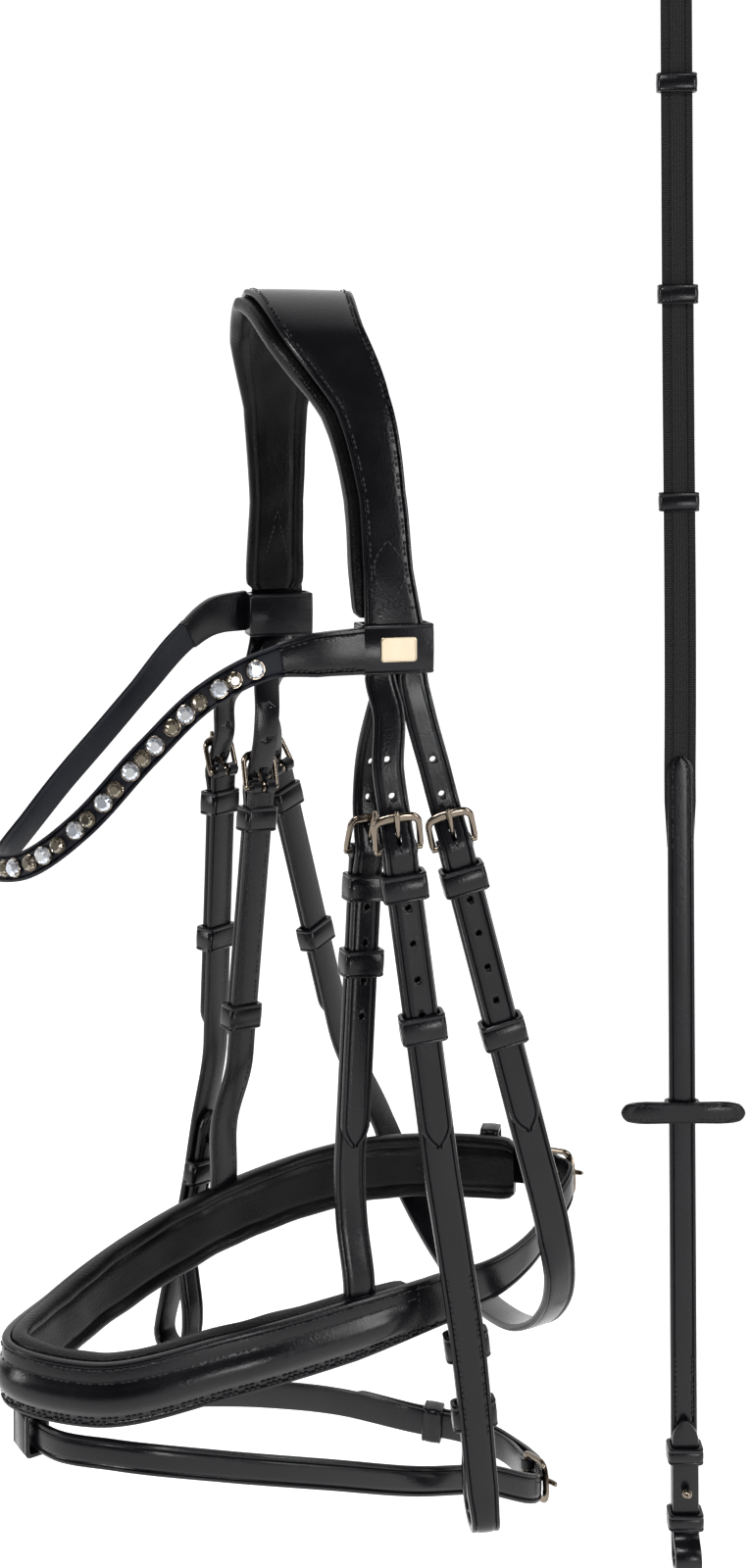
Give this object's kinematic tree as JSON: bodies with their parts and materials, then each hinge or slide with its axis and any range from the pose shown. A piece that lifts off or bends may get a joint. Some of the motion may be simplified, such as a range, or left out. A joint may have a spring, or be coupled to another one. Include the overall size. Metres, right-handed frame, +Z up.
{
  "type": "snaffle bridle",
  "caption": "Black leather snaffle bridle with padded headpiece, crystal browband, padded noseband with flash strap, throatlatch, cheekpieces and one rein.",
  "frame": {"origin": "underside of the headpiece padding at its highest point, where the bridle rests on the horse's poll", "axes": "+X to the horse's left, -Y towards its nose, +Z up, as the bridle hangs"},
  "size_m": [0.1928, 0.3631, 0.8096],
  "materials": {
    "strap_leather": "satin",
    "padding_leather": "matte",
    "buckle_metal": "polished",
    "clear_crystal": "polished",
    "smoky_crystal": "polished",
    "gold_plate": "polished",
    "web": "matte"
  },
  "bodies": {
    "headpiece": {"headpiece_crown": "strap_leather", "headpiece_padding": "padding_leather"},
    "browband": {"browband_strap": "strap_leather", "browband_crystals_clear": "clear_crystal", "browband_crystals_smoky": "smoky_crystal", "browband_loop_left": "strap_leather", "browband_loop_right": "strap_leather", "browband_plate": "gold_plate"},
    "cheek_left": {"cheekpiece_left": "strap_leather", "cheek_billet_left": "strap_leather", "cheek_buckle_left": "buckle_metal", "cheek_keepers_left": "strap_leather", "bit_hook_stud_left": "buckle_metal"},
    "cheek_right": {"cheekpiece_right": "strap_leather", "cheek_billet_right": "strap_leather", "cheek_buckle_right": "buckle_metal", "cheek_keepers_right": "strap_leather", "bit_hook_stud_right": "buckle_metal"},
    "noseband": {"noseband_hanger_left": "strap_leather", "noseband_hanger_right": "strap_leather", "noseband_billet_left": "strap_leather", "noseband_billet_right": "strap_leather", "hanger_buckles": "buckle_metal", "hanger_keepers": "strap_leather", "noseband_front": "strap_leather", "noseband_padding": "padding_leather", "noseband_rear_strap": "strap_leather", "noseband_buckle": "buckle_metal", "noseband_keepers": "strap_leather", "flash_loop": "strap_leather"},
    "flash": {"flash_strap": "strap_leather", "flash_buckle": "buckle_metal", "flash_keeper": "strap_leather"},
    "throatlatch": {"throatlatch": "strap_leather", "throat_billet_left": "strap_leather", "throat_billet_right": "strap_leather", "throat_buckles": "buckle_metal", "throat_keepers": "strap_leather"},
    "rein": {"rein_web": "web", "rein_buckle": "buckle_metal", "rein_leather": "strap_leather", "rein_stops": "strap_leather", "rein_keepers": "strap_leather", "rein_hook_stud": "buckle_metal"},
    "martingale_stop": {"martingale_stop": "strap_leather"},
    "noseband_prong": {"noseband_prong": "buckle_metal"},
    "flash_prong": {"flash_prong": "buckle_metal"},
    "flash_runner": {"flash_runner": "strap_leather"},
    "cheek_left_prong": {"cheek_prong_left": "buckle_metal"},
    "cheek_left_runner": {"cheek_runner_left": "strap_leather"},
    "cheek_right_prong": {"cheek_prong_right": "buckle_metal"},
    "cheek_right_runner": {"cheek_runner_right": "strap_leather"},
    "hanger_left_prong": {"hanger_prong_left": "buckle_metal"},
    "hanger_left_runner": {"hanger_runner_left": "strap_leather"},
    "hanger_right_prong": {"hanger_prong_right": "buckle_metal"},
    "hanger_right_runner": {"hanger_runner_right": "strap_leather"},
    "throat_left_prong": {"throat_prong_left": "buckle_metal"},
    "throat_left_runner": {"throat_runner_left": "strap_leather"},
    "throat_right_prong": {"throat_prong_right": "buckle_metal"},
    "throat_right_runner": {"throat_runner_right": "strap_leather"}
  },
  "joints": [
    {"name": "browband_slide", "type": "slide", "parent": "headpiece", "child": "browband", "axis": [0, 0, 1], "range_m": [-0.002, 0.002]},
    {"name": "cheek_left_swing", "type": "hinge", "parent": "headpiece", "child": "cheek_left", "pos_m": [0.077, 0.0015, -0.16], "axis": [0, -1, 0], "range_deg": [0, 6.5]},
    {"name": "cheek_right_swing", "type": "hinge", "parent": "headpiece", "child": "cheek_right", "pos_m": [-0.08, 0.0215, -0.16], "axis": [0, 1, 0], "range_deg": [0, 6.5]},
    {"name": "noseband_swing", "type": "hinge", "parent": "headpiece", "child": "noseband", "pos_m": [0, 0.014, -0.158], "axis": [1, 0, 0], "range_deg": [-6, 6]},
    {"name": "throatlatch_swing", "type": "hinge", "parent": "headpiece", "child": "throatlatch", "pos_m": [0, 0.026, -0.16], "axis": [1, 0, 0], "range_deg": [0, 8]},
    {"name": "flash_swing", "type": "hinge", "parent": "noseband", "child": "flash", "pos_m": [0, -0.133, -0.4955], "axis": [1, 0, 0], "range_deg": [0, 5]},
    {"name": "rein_swing", "type": "hinge", "parent": "headpiece", "child": "rein", "pos_m": [0.05865, 0.18363, 0.168], "axis": [0.5, 0.866, 0], "range_deg": [-8, 8]},
    {"name": "cheek_left_prong_turn", "type": "hinge", "parent": "cheek_left", "child": "cheek_left_prong", "pos_m": [0.084, 0.007, -0.24], "axis": [0.3624, 0.9219, 0.1371], "range_deg": [0, 10]},
    {"name": "cheek_right_prong_turn", "type": "hinge", "parent": "cheek_right", "child": "cheek_right_prong", "pos_m": [-0.084, 0.001, -0.233], "axis": [0.3906, -0.9204, 0.0182], "range_deg": [0, 10]},
    {"name": "hanger_left_prong_turn", "type": "hinge", "parent": "noseband", "child": "hanger_left_prong", "pos_m": [0.052, 0.008, -0.247], "axis": [0.1016, 0.9929, -0.0624], "range_deg": [0, 10]},
    {"name": "hanger_right_prong_turn", "type": "hinge", "parent": "noseband", "child": "hanger_right_prong", "pos_m": [-0.052, 0.007, -0.2365], "axis": [0.1612, -0.9839, 0.0773], "range_deg": [0, 10]},
    {"name": "throat_left_prong_turn", "type": "hinge", "parent": "throatlatch", "child": "throat_left_prong", "pos_m": [0.084, 0.036, -0.241], "axis": [0.3661, 0.8936, 0.2596], "range_deg": [0, 10]},
    {"name": "throat_right_prong_turn", "type": "hinge", "parent": "throatlatch", "child": "throat_right_prong", "pos_m": [-0.084, 0.034, -0.235], "axis": [0.4016, -0.8895, -0.2178], "range_deg": [0, 10]},
    {"name": "noseband_prong_turn", "type": "hinge", "parent": "noseband", "child": "noseband_prong", "pos_m": [-0.001, 0.145, -0.44], "axis": [-0.0976, -0.0137, 0.9951], "range_deg": [0, 10]},
    {"name": "flash_prong_turn", "type": "hinge", "parent": "flash", "child": "flash_prong", "pos_m": [0.032, 0.112, -0.571], "axis": [-0.1691, 0.06, 0.9838], "range_deg": [0, 10]},
    {"name": "cheek_left_runner_slide", "type": "slide", "parent": "cheek_left", "child": "cheek_left_runner", "axis": [0.0149, 0.1414, -0.9898], "range_m": [-0.012, 0.012]},
    {"name": "cheek_right_runner_slide", "type": "slide", "parent": "cheek_right", "child": "cheek_right_runner", "axis": [-0.0149, -0.0261, -0.9995], "range_m": [-0.012, 0.012]},
    {"name": "hanger_left_runner_slide", "type": "slide", "parent": "noseband", "child": "hanger_left_runner", "axis": [0.0151, -0.0643, -0.9978], "range_m": [-0.012, 0.012]},
    {"name": "hanger_right_runner_slide", "type": "slide", "parent": "noseband", "child": "hanger_right_runner", "axis": [-0.0154, -0.0808, -0.9966], "range_m": [-0.012, 0.012]},
    {"name": "throat_left_runner_slide", "type": "slide", "parent": "throatlatch", "child": "throat_left_runner", "axis": [0.029, 0.2679, -0.963], "range_m": [-0.012, 0.012]},
    {"name": "throat_right_runner_slide", "type": "slide", "parent": "throatlatch", "child": "throat_right_runner", "axis": [0.0072, 0.2408, -0.9705], "range_m": [-0.012, 0.012]},
    {"name": "martingale_stop_slide", "type": "slide", "parent": "rein", "child": "martingale_stop", "axis": [-0.0027, -0.0046, 1], "range_m": [-0.04, 0.04]},
    {"name": "flash_runner_slide", "type": "slide", "parent": "flash", "child": "flash_runner", "axis": [-0.6741, -0.737, 0.0494], "range_m": [-0.003, 0.002]}
  ]
}
